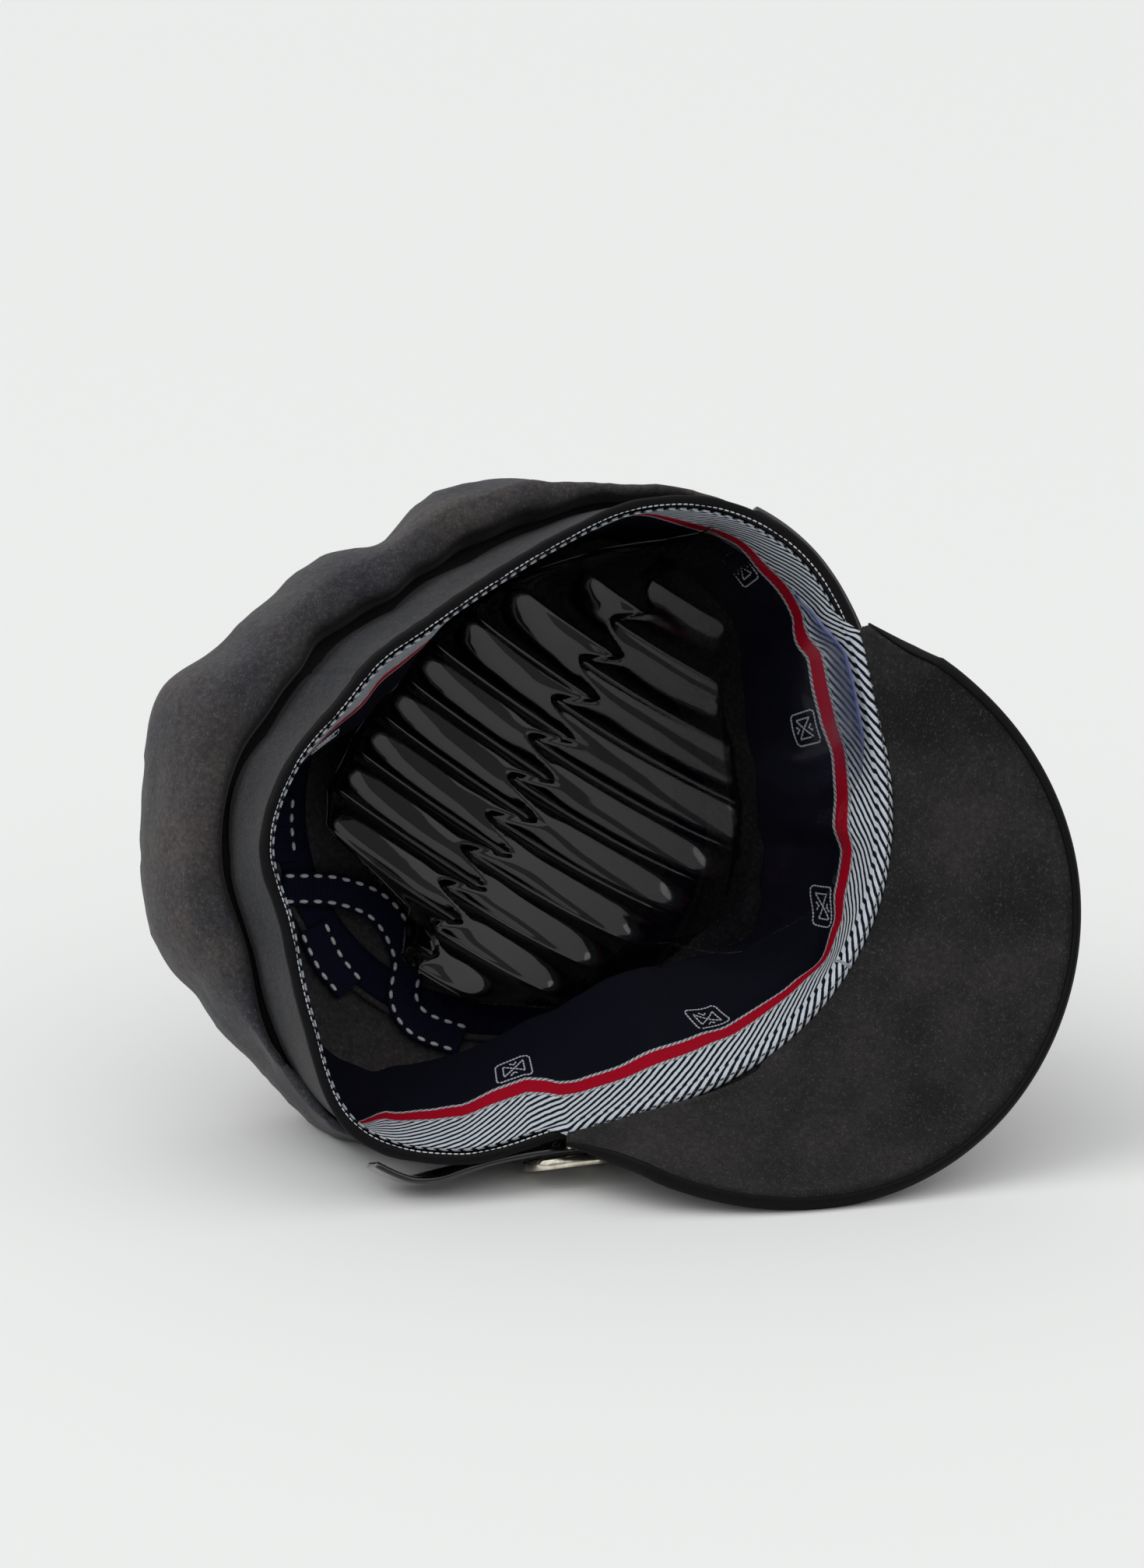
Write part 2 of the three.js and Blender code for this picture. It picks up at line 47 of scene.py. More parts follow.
# The same named sizes as the CAD part, in millimetres and degrees
headRadius, bandHeight, bandWall = 91, 38, 2
crownRadius, crownHeight, crownWall = 106, 90, 2
puffHeight, foldDrop, foldReach = 58, 6.5, 4.6
topRadius, topDish, pieceGap = 68, 5.5, 0.3
edgingRadius, ribbonLength, ribbonWall = 1.6, 42, 1
ribbonLean, ribbonInset, tapeWidth, tapeWall = 70, 1.2, 10, 0.9
peakLength, peakWall, peakSpread = 59, 3.2, 61
peakPitch, peakBend, peakFan, peakTaper, peakTail = 24, 159, 1.55, 1.46, 0.35
trimReach, trimHeight = 1.3, 4.6
strapWidth, strapWall, strapSpread, strapRise = 13, 1.8, 86, 11
strapSlack, strapSeat, slideAt = 7, 1.1, -57
slideLength, slideHeight, slideBar = 22, 17.4, 2.6
slideDepth, slideTongue, slideSeatGap = 3.2, 1.2, 0.9
filmWall, filmTop, filmReach, pleatPitch, pleatDepth = 0.8, 77, 88, 13, 2.6
filmInset, filmFlare = 4.2, 11
openingUp, openingTurn, peakDrop = 20.9, 15.6, 36.7

# rim, top, puff, lean and slack every 15 degrees from the front towards the wearer's right
outline = np.array([
    [1.066, 1.088, 1.057, 0.45, 0],
    [1.066, 1.088, 1.057, 0.48, 0],
    [1.05, 1.077, 1.057, 0.5, 0],
    [1.044, 1.071, 1.057, 0.5, 0],
    [1.077, 1.099, 1.057, 0.42, 0],
    [1.088, 1.1, 1.044, 0.28, 0],
    [1.027, 1.066, 0.992, 0.2, 0],
    [0.907, 0.967, 0.894, 0.02, 0],
    [0.764, 0.835, 0.896, -0.1, 0],
    [0.676, 0.764, 0.878, -0.13, 0],
    [0.637, 0.731, 0.847, -0.06, 0],
    [0.637, 0.731, 0.857, 0.1, 0],
    [0.681, 0.78, 0.906, 0.17, 0],
    [0.731, 0.83, 1.012, 0.14, 0],
    [0.846, 0.923, 1.027, 0.05, 0],
    [0.945, 0.978, 1.051, 0.05, 0],
    [0.973, 1, 1.054, 0.05, 0],
    [1.088, 1.11, 1.025, 0.05, 0],
    [1.247, 1.176, 1.036, 0.45, 0.25],
    [1.203, 1.11, 1.057, 0.62, 1],
    [1.082, 1.04, 1.057, 0.66, 0.75],
    [1.038, 1.035, 1.057, 0.75, 0.45],
    [1.04, 1.05, 1.057, 0.8, 0.15],
    [1.055, 1.077, 1.057, 0.65, 0.1],
])
columns = {"rim": 0, "top": 1, "puff": 2, "lean": 3, "slack": 4}
crownFolds = np.array([
    [149, 7, 0.9], [187, 5, 0.8], [217, 9, 0.5], [243, 6, 0.45], [112, 8, 0.5],
    [75, 8, 0.5], [38, 9, 0.5], [4, 8, 0.5], [330, 9, 0.5],
])
filmLines = np.array([
    [-0.64, -0.06, 0.24, 0.74, 0.72],
    [-0.5, -0.12, 0.52, 0.72, 0.6],
    [-0.4, -0.49, 0.6, 0.8, 0.52],
    [-0.3, -0.55, 0.68, 0.8, 0.46],
    [-0.1, -0.57, 0.84, 0.78, 0.3],
    [0.1, -0.57, 0.94, 0.76, 0.12],
    [0.35, -0.54, 0.98, 0.74, 0.08],
    [0.6, -0.42, 0.9, 0.6, 0.06],
    [0.8, -0.24, 0.72, 0.4, 0.06],
    [1.0, 0.02, 0.34, 0.16, 0.08],
])


def sin(degrees):
    return np.sin(np.radians(degrees))


def cos(degrees):
    return np.cos(np.radians(degrees))


def lerp(a, b, t):
    return a + (b - a) * t


def soft(name, at):
    place = np.mod(at, 360) / 15
    row = np.floor(place).astype(int)
    t = place - row
    a, b, c, d = (outline[(row + k) % 24, columns[name]] for k in (-1, 0, 1, 2))
    return b + 0.5 * t * (c - a + t * (2 * a - 5 * b + 4 * c - d + t * (3 * (b - c) + d - a)))


def rimRadius(at):
    return headRadius * soft("rim", at)


def bandTopRadius(at):
    return headRadius * soft("top", at)


def polar(at, radius, height):
    at, radius, height = np.broadcast_arrays(at, radius, height)
    return np.stack([radius * sin(at), radius * cos(at), height], -1).astype(float)


crownward = np.array([
    -sin(openingTurn) * cos(openingUp), cos(openingTurn) * cos(openingUp), -sin(openingUp)
])
level = np.array([cos(openingTurn), sin(openingTurn), 0])
downward = np.cross(crownward, level)
frontward = level * cos(peakDrop) + downward * sin(peakDrop)
turn = np.stack([np.cross(frontward, crownward), frontward, crownward], 1)


def peakPoint(at, share):
    start = polar(at, rimRadius(at), 0)
    aside = np.abs(at / peakSpread)
    width = peakLength * np.power(np.maximum(cos(aside * 90), 0), peakTaper - peakTail * aside ** 4)
    reach = np.maximum(width * share, edgingRadius + pieceGap + 0.3)
    side = np.clip(peakFan * sin(at), -1, 1)
    x = start[..., 0] + side * reach * cos(peakPitch)
    y = start[..., 1] + np.sqrt(1 - side * side) * reach * cos(peakPitch)
    z = -reach * sin(peakPitch) - (x * x - start[..., 0] ** 2) / (2 * peakBend)
    return np.stack([x, y, z], -1)


def unit(v):
    return v / np.maximum(np.linalg.norm(v, axis=-1, keepdims=True), 1e-9)


def trimMiddle(at):
    outward = unit(peakPoint(at, 1) - peakPoint(at, 0.9))
    return peakPoint(at, 1) + outward * (trimReach + pieceGap), outward


def trimRings(at, sides):
    middle, outward = trimMiddle(at)
    ahead = unit(trimMiddle(at + 1)[0] - trimMiddle(at - 1)[0])
    upward = unit(np.cross(ahead, outward))
    k = np.arange(sides) * 360 / sides
    return (
        middle[:, None]
        + outward[:, None] * (trimReach * cos(k))[None, :, None]
        + upward[:, None] * (trimHeight / 2 * sin(k))[None, :, None]
    )


peakEnd = peakSpread - 3.5
lift = -(trimRings(np.linspace(-peakEnd, peakEnd, 37), 8) @ turn.T)[..., 2].min()
edgeAt = np.arange(72) * 5.0
edgeRings = polar(edgeAt[:, None], rimRadius(edgeAt)[:, None] + edgingRadius * cos(np.arange(6) * 60),
                  edgingRadius * sin(np.arange(6) * 60)) @ turn.T
edgeLow = np.array(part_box("rim_edging")[0]) * 1000
shift = edgeLow - edgeRings.reshape(-1, 3).min(0)
shift[2] = lift


def laid(points, clearance=-1e9):
    placed = points @ turn.T + np.array([shift[0], shift[1], lift])
    placed[..., 2] = np.maximum(placed[..., 2], clearance)
    return placed


def makeMesh(name, points, faces, uv=None, smooth=True):
    mesh = bpy.data.meshes.new(name)
    mesh.from_pydata([tuple(p) for p in np.asarray(points) / 1000], [], faces)
    if uv is not None:
        layer = mesh.uv_layers.new(name="UVMap")
        loops = np.empty(len(mesh.loops), int)
        mesh.loops.foreach_get("vertex_index", loops)
        layer.data.foreach_set("uv", np.asarray(uv, float)[loops].ravel())
    mesh.polygons.foreach_set("use_smooth", [smooth] * len(mesh.polygons))
    mesh.update()
    piece = bpy.data.objects.new(name, mesh)
    scene.collection.objects.link(piece)
    return piece


def applyAll(piece):
    bpy.ops.object.select_all(action="DESELECT")
    piece.select_set(True)
    bpy.context.view_layer.objects.active = piece
    for modifier in list(piece.modifiers):
        bpy.ops.object.modifier_apply(modifier=modifier.name)


# grid holds rows by columns of middle points, and uv two values for each
def sheet(name, grid, uv, thickness, ring=False, inner=0):
    rows, cols = grid.shape[:2]
    if ring:
        grid = np.concatenate([grid, grid[:, :1]], 1)
        uv = np.concatenate([uv, uv[:, :1] + np.array([uv[0, 1, 0] - uv[0, 0, 0], 0]) * cols], 1)
        cols += 1
    faces = [
        (j * cols + i, j * cols + i + 1, (j + 1) * cols + i + 1, (j + 1) * cols + i)
        for j in range(rows - 1) for i in range(cols - 1)
    ]
    piece = makeMesh(name, grid.reshape(-1, 3), faces, uv.reshape(-1, 2))
    if ring:
        weld = piece.modifiers.new("weld", "WELD")
        weld.merge_threshold = 1e-6
    solid = piece.modifiers.new("thickness", "SOLIDIFY")
    solid.thickness = thickness / 1000
    solid.offset = 0
    solid.use_quality_normals = False
    solid.material_offset = inner
    applyAll(piece)
    return piece


def tube(name, rings, uvScale=1.0, closed=False, caps=True):
    count, sides = rings.shape[:2]
    faces = []
    for j in range(count if closed else count - 1):
        for i in range(sides):
            n = (j + 1) % count
            beside = (i + 1) % sides
            faces.append((j * sides + i, j * sides + beside, n * sides + beside, n * sides + i))
    if not closed and caps:
        faces.append(tuple(range(sides))[::-1])
        faces.append(tuple((count - 1) * sides + i for i in range(sides)))
    v = np.repeat(np.arange(count) / max(count - 1, 1) * uvScale, sides)
    u = np.tile(np.arange(sides) / sides, count)
    return makeMesh(name, rings.reshape(-1, 3), faces, np.stack([v, u], -1))


# Short rounded stitches along a path of close points, each with its normal
def stitchRow(name, points, normals, length, gap, radius, skip=None):
    steps = np.linalg.norm(np.diff(points, axis=0), axis=1)
    along = np.concatenate([[0], np.cumsum(steps)])
    verts = []
    faces = []
    at = gap / 2
    while at + length < along[-1]:
        if skip is None or not skip(at / along[-1]):
            s = np.linspace(at, at + length, 5)
            middle = np.stack([np.interp(s, along, points[:, a]) for a in range(3)], -1)
            up = unit(np.stack([np.interp(s, along, normals[:, a]) for a in range(3)], -1))
            ahead = unit(np.gradient(middle, axis=0))
            side = unit(np.cross(ahead, up))
            size = radius * np.array([0.45, 0.95, 1, 0.95, 0.45])
            base = len(verts)
            for m, u, w, r in zip(middle, up, side, size):
                for angle in np.arange(6) * 60:
                    verts.append(m + w * r * cos(angle) + u * r * 0.8 * sin(angle))
            for j in range(4):
                for i in range(6):
                    faces.append((base + j * 6 + i, base + j * 6 + (i + 1) % 6,
                                  base + (j + 1) * 6 + (i + 1) % 6, base + (j + 1) * 6 + i))
            faces.append(tuple(base + i for i in range(6))[::-1])
            faces.append(tuple(base + 24 + i for i in range(6)))
        at += length + gap
    return makeMesh(name, np.array(verts), faces)


def ride(piece, slot, *nodes):
    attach(piece, "root")
    if nodes:
        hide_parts(*nodes)
    return piece


def newMaterial(name, **values):
    material = bpy.data.materials.new(name)
    material.use_nodes = True
    shader = material.node_tree.nodes["Principled BSDF"]
    for key, value in values.items():
        shader.inputs[key.replace("_", " ")].default_value = value
    return material, material.node_tree, shader


def node(tree, kind, inputs=None, **settings):
    made = tree.nodes.new(kind)
    for key, value in settings.items():
        setattr(made, key, value)
    for key, value in (inputs or {}).items():
        if isinstance(value, bpy.types.NodeSocket):
            tree.links.new(value, made.inputs[key])
        else:
            made.inputs[key].default_value = value
    return made


def ramp(tree, factor, *stops):
    made = node(tree, "ShaderNodeValToRGB", {"Fac": factor})
    elements = made.color_ramp.elements
    while len(elements) < len(stops):
        elements.new(0.5)
    for element, (place, color) in zip(elements, stops):
        element.position = place
        element.color = (*color, 1) if len(color) == 3 else color
    return made.outputs["Color"]


def mathNode(tree, operation, a, b=0.0):
    return node(tree, "ShaderNodeMath", {0: a, 1: b}, operation=operation).outputs[0]


def mixColor(tree, factor, a, b, blend="MIX"):
    made = node(tree, "ShaderNodeMix", data_type="RGBA", blend_type=blend)
    for key, value in ((0, factor), (6, a), (7, b)):
        if isinstance(value, bpy.types.NodeSocket):
            tree.links.new(value, made.inputs[key])
        else:
            made.inputs[key].default_value = value if key == 0 else (*value, 1)
    return made.outputs[2]


def bump(tree, shader, height, strength, distance):
    made = node(tree, "ShaderNodeBump", {"Height": height, "Strength": strength, "Distance": distance})
    tree.links.new(made.outputs[0], shader.inputs["Normal"])


def objectPlace(tree, scale=(1, 1, 1)):
    coordinates = node(tree, "ShaderNodeTexCoord")
    return node(tree, "ShaderNodeMapping", {"Vector": coordinates.outputs["Object"],
                                            "Scale": scale}).outputs[0]


def uvPlace(tree, scale=(1, 1, 1), turned=0.0):
    coordinates = node(tree, "ShaderNodeUVMap")
    return node(tree, "ShaderNodeMapping", {"Vector": coordinates.outputs[0], "Scale": scale,
                                            "Rotation": (0, 0, turned)}).outputs[0]


def noiseHeight(tree, place, scale, detail):
    return node(tree, "ShaderNodeTexNoise", {"Vector": place, "Scale": scale, "Detail": detail}).outputs[0]


def waveLook(tree, scale, distortion, direction):
    inputs = {"Vector": uvPlace(tree), "Scale": scale, "Distortion": distortion}
    return node(tree, "ShaderNodeTexWave", inputs, bands_direction=direction).outputs["Color"]


def grey(value):
    return (value, value, value)


# look has the dark, warm and pale colours, the amount of pale flecks, the sheen and, if any, the dimmed range
def clothMaterial(name, look):
    material, tree, shader = newMaterial(name, Roughness=0.88)
    shader.inputs["Sheen Weight"].default_value = look["sheen"]
    shader.inputs["Sheen Roughness"].default_value = 0.45
    shader.inputs["Specular IOR Level"].default_value = 0.25
    place = objectPlace(tree)
    patches = noiseHeight(tree, place, 38.0, 4.0)
    fibres = noiseHeight(tree, objectPlace(tree, (1, 1, 0.7)), 1900.0, 2.0)
    grain = noiseHeight(tree, place, 620.0, 3.0)
    tone = mixColor(tree, ramp(tree, patches, (0.35, grey(0)), (0.7, grey(1))), look["dark"], look["warm"])
    flecks = ramp(tree, fibres, (0.56, grey(0)), (0.7, grey(1)))
    amount = mathNode(tree, "MULTIPLY", flecks, look["flecks"])
    color = mixColor(tree, amount, tone, look["pale"])
    shade = ramp(tree, grain, (0.3, grey(0.62)), (0.7, grey(1.15)))
    color = mixColor(tree, 1.0, color, shade, "MULTIPLY")
    if "dimmed" in look:  # a range of uv rows that falls to shadow, where the cloth is folded in
        darkRow, lightRow = look["dimmed"]
        share = node(tree, "ShaderNodeSeparateXYZ", {0: node(tree, "ShaderNodeUVMap").outputs[0]}).outputs[1]
        light = node(tree, "ShaderNodeMapRange", {"Value": share, "From Min": darkRow, "From Max": lightRow,
                                                  "To Min": 0.12}).outputs[0]
        color = mixColor(tree, light, (0, 0, 0), color)
    tree.links.new(color, shader.inputs["Base Color"])
    coarse = mathNode(tree, "MULTIPLY", grain, 0.6)
    fine = mathNode(tree, "MULTIPLY", fibres, 0.5)
    bump(tree, shader, mathNode(tree, "ADD", coarse, fine), 0.55, 0.0004)
    return material


crownCloth = clothMaterial("crown_cloth", {
    "dark": (0.034, 0.035, 0.045),
    "warm": (0.062, 0.054, 0.052),
    "pale": (0.16, 0.155, 0.15),
    "flecks": 0.4,
    "sheen": 0.1,
    "dimmed": (1.45, 2.0),
})
bandCloth = clothMaterial("band_cloth", {
    "dark": (0.024, 0.025, 0.031),
    "warm": (0.034, 0.033, 0.035),
    "pale": (0.13, 0.13, 0.13),
    "flecks": 0.35,
    "sheen": 0.05,
    "dimmed": (4.0, 3.4),
})
peakCloth = clothMaterial("peak_cloth", {
    "dark": (0.0065, 0.0062, 0.0068),
    "warm": (0.026, 0.023, 0.024),
    "pale": (0.1, 0.096, 0.098),
    "flecks": 0.34,
    "sheen": 0.04,
})


def plainMaterial(name, color, roughness, grainScale, grainDepth, **values):
    material, tree, shader = newMaterial(name, Roughness=roughness, **values)
    grain = noiseHeight(tree, objectPlace(tree), grainScale, 3.0)
    low = tuple(c * 0.75 for c in color)
    high = tuple(min(c * 1.25, 1) for c in color)
    tree.links.new(ramp(tree, grain, (0.35, low), (0.65, high)), shader.inputs["Base Color"])
    bump(tree, shader, grain, 0.35, grainDepth)
    return material


lining = plainMaterial("crown_lining", (0.0015, 0.0015, 0.003), 0.6, 900.0, 0.00012, Specular_IOR_Level=0.1)
edging = plainMaterial("satin_edging", (0.0025, 0.0025, 0.0035), 0.6, 1400.0, 0.00015,
                       Specular_IOR_Level=0.12)
patent = plainMaterial("patent_strap", (0.0025, 0.0025, 0.003), 0.16, 260.0, 0.00008, Coat_Weight=0.7)
thread = plainMaterial("pale_thread", (0.62, 0.63, 0.66), 0.7, 3200.0, 0.0001)
greyThread = plainMaterial("badge_thread", (0.4, 0.42, 0.47), 0.8, 3200.0, 0.0001)
tapeThread = plainMaterial("tape_thread", (0.9, 0.91, 0.94), 0.7, 3200.0, 0.0001)
darkThread = plainMaterial("dark_thread", (0.015, 0.015, 0.02), 0.8, 3200.0, 0.0001)
gold = plainMaterial("pale_gold", (0.79, 0.74, 0.62), 0.2, 420.0, 0.00003, Metallic=1.0)


def tapeMaterial():
    material, tree, shader = newMaterial("navy_tape", Roughness=0.8, Specular_IOR_Level=0.15)
    ribs = waveLook(tree, 0.42, 0.2, "X")
    tree.links.new(ramp(tree, ribs, (0.2, (0.002, 0.003, 0.012)), (0.9, (0.01, 0.013, 0.04))),
                   shader.inputs["Base Color"])
    bump(tree, shader, ribs, 0.5, 0.0003)
    return material


navyTape = tapeMaterial()


ribbonWeave = {"pitch": 1.65, "slope": 28, "striped": 13.2, "red": 14.1, "redEnd": 18.3, "navy": 19.2}


# Its uv is in millimetres, along the ribbon and across it from its turned edge
def ribbonMaterial():
    material, tree, shader = newMaterial("woven_ribbon", Roughness=0.75, Specular_IOR_Level=0.12)
    uv = node(tree, "ShaderNodeUVMap").outputs[0]
    parts = node(tree, "ShaderNodeSeparateXYZ", {0: uv})
    along, across = parts.outputs[0], parts.outputs[1]
    wobble = noiseHeight(tree, uvPlace(tree), 0.35, 2.0)
    slanted = mathNode(tree, "SUBTRACT", mathNode(tree, "MULTIPLY", across, cos(ribbonWeave["slope"])),
                       mathNode(tree, "MULTIPLY", along, sin(ribbonWeave["slope"])))
    slanted = mathNode(tree, "ADD", slanted, mathNode(tree, "MULTIPLY", wobble, 0.5))
    phase = mathNode(tree, "FRACT", mathNode(tree, "DIVIDE", slanted, ribbonWeave["pitch"]))
    stripes = ramp(tree, mathNode(tree, "PINGPONG", phase, 0.5),
                   (0.2, (0.003, 0.005, 0.015)), (0.27, (0.68, 0.73, 0.79)))
    thin = ramp(tree, waveLook(tree, 0.95, 1.0, "Y"), (0.1, (0.72, 0.72, 0.74)), (0.6, grey(1)))
    stripes = mixColor(tree, 0.55, stripes, thin, "MULTIPLY")
    weave = waveLook(tree, 1.3, 0.4, "X")
    red = ramp(tree, weave, (0.1, (0.28, 0.0, 0.008)), (0.9, (0.45, 0.0, 0.02)))
    cords = ramp(tree, mathNode(tree, "FRACT", mathNode(tree, "DIVIDE", slanted, 0.9)),
                 (0.35, (0.55, 0.57, 0.6)), (0.6, (0.16, 0.17, 0.2)))
    navy = ramp(tree, weave, (0.1, (0.0008, 0.001, 0.004)), (0.9, (0.002, 0.0026, 0.01)))

    def above(edge):
        return mathNode(tree, "GREATER_THAN", across, edge)

    color = stripes
    for edge, part in (("striped", cords), ("red", red), ("redEnd", cords), ("navy", navy)):
        color = mixColor(tree, above(ribbonWeave[edge]), color, part)
    tree.links.new(color, shader.inputs["Base Color"])
    bump(tree, shader, mathNode(tree, "ADD", weave, mathNode(tree, "PINGPONG", phase, 0.5)), 0.5, 0.0003)
    return material


ribbonCloth = ribbonMaterial()


# Its uv runs across the pleats, and from the back edge, 0, to the front edge, 1
def filmMaterial():
    material, tree, shader = newMaterial("clear_film", Roughness=0.06, IOR=1.5)
    shader.inputs["Specular IOR Level"].default_value = 0.6
    parts = node(tree, "ShaderNodeSeparateXYZ", {0: node(tree, "ShaderNodeUVMap").outputs[0]})
    across, share = parts.outputs[0], parts.outputs[1]
    rightSide = node(tree, "ShaderNodeMapRange",
                     {"Value": across, "From Min": 0.55, "From Max": 0.75}).outputs[0]
    # Painted shade: the film fades from nearly opaque at the back edge to almost clear towards the front edge
    # and the right side, which dims its reflection there
    side = mathNode(tree, "ADD", mathNode(tree, "MULTIPLY", across, 0.25), share)
    paintedShadeFade = ramp(tree, side, (0.5, grey(0.92)), (0.92, grey(0.12)))
    # On the right the front edge turns opaque again: a bluish haze that is partly the film's own tint and
    # partly a painted sheen
    edgeHazeAndSheen = ramp(tree, share, (0.93, grey(0)), (0.965, grey(0.42)), (0.985, grey(0.5)), (0.992, grey(0.9)))
    edgeHazeAndSheen = mathNode(tree, "MULTIPLY", edgeHazeAndSheen, rightSide)
    tree.links.new(mathNode(tree, "MAXIMUM", paintedShadeFade, edgeHazeAndSheen), shader.inputs["Alpha"])
    black = (0.0008, 0.0008, 0.0012)
    # Its colour there is a blue tint mixed with a painted sheen, lightest at the very edge as a painted
    # highlight
    tintAndSheen = ramp(tree, share, (0.9, black), (0.955, (0.03, 0.042, 0.085)),
                (0.985, (0.04, 0.055, 0.12)), (0.993, (0.11, 0.13, 0.3)))
    tintAndSheen = mixColor(tree, rightSide, black, tintAndSheen)
    tree.links.new(tintAndSheen, shader.inputs["Base Color"])
    crinkle = noiseHeight(tree, objectPlace(tree), 60.0, 2.0)
    bump(tree, shader, crinkle, 0.3, 0.0006)
    return material


clearFilm = filmMaterial()
print("materials made")


crownLook = {
    "openFold": {"at": 148, "spread": 52, "width": 2.3, "wave": 1.3, "pucker": 0.6},
    "lipWave": 0.9,
    "gather": 0.5,
    "folds": ((46, 2.6), (21, 1.5), (9, 0.55)),
    "topFolds": ((38, 1.8), (16, 0.8)),
    "allowance": 2.6,
    "wall": crownWall - 0.2,
    "floorGap": crownWall / 2 + 0.05,
}


# A ridged height for each point, from cells of noise, each with its size and amount in millimetres
def wrinkle(points, sizes, seed):
    flat = points.reshape(-1, 3)
    total = np.zeros(len(flat))
    for size, amount in sizes:
        values = [noise.noise(Vector((p[0] / size + seed, p[1] / size, p[2] / size))) for p in flat]
        values = np.array(values)
        total += amount * (1 - 2 * np.abs(values)) * 0.6 + amount * values * 0.6
    return total.reshape(points.shape[:-1])


def foldGape(at):
    fold = crownLook["openFold"]
    back = np.exp(-((np.mod(at - fold["at"] + 180, 360) - 180) / fold["spread"]) ** 4)
    wide = fold["width"] + fold["wave"] * sin(at * 9 + 50 * sin(at * 4)) + fold["pucker"] * sin(at * 27)
    return 0.5 + np.maximum(wide, 0.4) * back


def crownSide(at, share):
    seam = bandTopRadius(at)
    widest = np.maximum(crownRadius * soft("puff", at), seam + 5)
    foldLine = bandHeight - foldDrop
    reach = seam + np.minimum(foldReach, (widest - seam) * 0.6)
    shoulder = crownHeight - topDish
    gape = foldGape(at)
    lipRise = crownLook["lipWave"] * sin(at * 13 + 40 * sin(at * 3))
    stations = [
        (seam - 0.6, bandHeight + pieceGap + 1.2),
        (seam + 2.8 + gape * 0.5, bandHeight + pieceGap + 1 + gape * 1.3),
        (np.maximum(reach - 0.6, seam + 3.3) + gape, foldLine + 1.4 + lipRise),
        (lerp(reach, widest, 0.12) + gape, foldLine + lipRise),
        (lerp(reach, widest, 0.5) + gape * 0.6, foldLine + 0.6 + lipRise * 0.5),
        (lerp(reach, widest, 0.8), lerp(foldLine, puffHeight, 0.3)),
        (lerp(reach, widest, 0.95), lerp(foldLine, puffHeight, 0.66)),
        (widest, puffHeight),
        (widest - 2.5, lerp(puffHeight, shoulder, 0.46)),
        (lerp(topRadius, widest, 0.66), lerp(puffHeight, shoulder, 0.86)),
        (topRadius + pieceGap, shoulder),
    ]
    radii = np.stack(np.broadcast_arrays(*[s[0] for s in stations]))
    heights = np.stack(np.broadcast_arrays(*[s[1] + at * 0 for s in stations]))
    place = np.clip(share, 0, 1) * 10
    k = np.minimum(np.floor(place).astype(int), 9)
    t = place - k

    def smooth(values):
        a, b = values[np.maximum(k - 1, 0)], values[k]
        c, d = values[k + 1], values[np.minimum(k + 2, 10)]
        curved = b + 0.5 * t * (c - a + t * (2 * a - 5 * b + 4 * c - d + t * (3 * (b - c) + d - a)))
        straight = lerp(b, c, t)
        return lerp(straight, curved, 0.85 if k > 3 else 0.25)

    radius, height = smooth(radii), smooth(heights)
    away = np.mod(at[:, None] - crownFolds[:, 0] + 180, 360) - 180
    press = (crownFolds[:, 2] * np.exp(-(away / crownFolds[:, 1]) ** 2)).sum(1)
    strength = np.clip((share - 0.3) / 0.3, 0, 1) * np.clip((1 - share) / 0.3, 0, 1)
    return polar(at, radius - foldReach * press * strength, height)


crownAt = np.arange(360) * 1.0
crownShares = np.concatenate([np.linspace(0, 0.4, 13), np.linspace(0.42, 1, 34)])
side = np.stack([crownSide(crownAt, s) for s in crownShares])
allowance = polar(crownAt, topRadius + 0.1, crownHeight - topDish - crownLook["allowance"])  # under the top
folds = wrinkle(side * np.array([1, 1, 0.55]), crownLook["folds"], 3.1)
calm = np.clip((crownShares - 0.24) / 0.16, 0, 1) * np.clip((1 - crownShares) / 0.08, 0, 1)
outward = unit(side * np.array([1, 1, 0]))
side = side + outward * ((folds - 1.6) * calm[:, None])[..., None]
gatherHeight = np.exp(-((crownShares - 0.5) / 0.16) ** 2)[:, None]
gather = np.abs(sin(crownAt * 11 + 30 * sin(crownAt * 3)))[None] * crownLook["gather"] * gatherHeight
side = side - outward * gather[..., None]
side = np.concatenate([side, allowance[None]])
sideLaid = laid(side, crownLook["floorGap"])
uv = np.stack(np.broadcast_arrays(crownAt[None] / 10, np.append(crownShares, 1.03)[:, None] * 8), -1)
crownPiece = sheet("crown_side_cloth", sideLaid, uv, crownLook["wall"], True, inner=1)
crownPiece.data.materials.append(crownCloth)
crownPiece.data.materials.append(lining)
ride(crownPiece, "cloth", "crown_side")

topShares = np.linspace(1, 0, 27)
top = np.stack([
    polar(crownAt, (topRadius - pieceGap) * s, crownHeight - topDish * s * s) for s in topShares
])
topFolds = wrinkle(top, crownLook["topFolds"], 8.2) * np.clip((1 - topShares) / 0.12, 0, 1)[:, None]
top[..., 2] += topFolds - 0.8
topLaid = laid(top, crownLook["floorGap"])
uv = np.stack(np.broadcast_arrays(crownAt[None] / 10, 2.5 + topShares[:, None] * 6), -1)
topPiece = sheet("crown_top_cloth", topLaid, uv, crownLook["wall"], True, inner=1)
topPiece.data.materials.append(crownCloth)
topPiece.data.materials.append(lining)
ride(topPiece, "cloth", "crown_top")
print("crown made")

bandLook = {"folds": ((30, 0.9), (12, 0.35)), "puckers": 1.1, "seamAt": 184, "seamDip": 0.7,
            "wall": bandWall - 0.2, "floorGap": 1 + crownWall + pieceGap * 2}

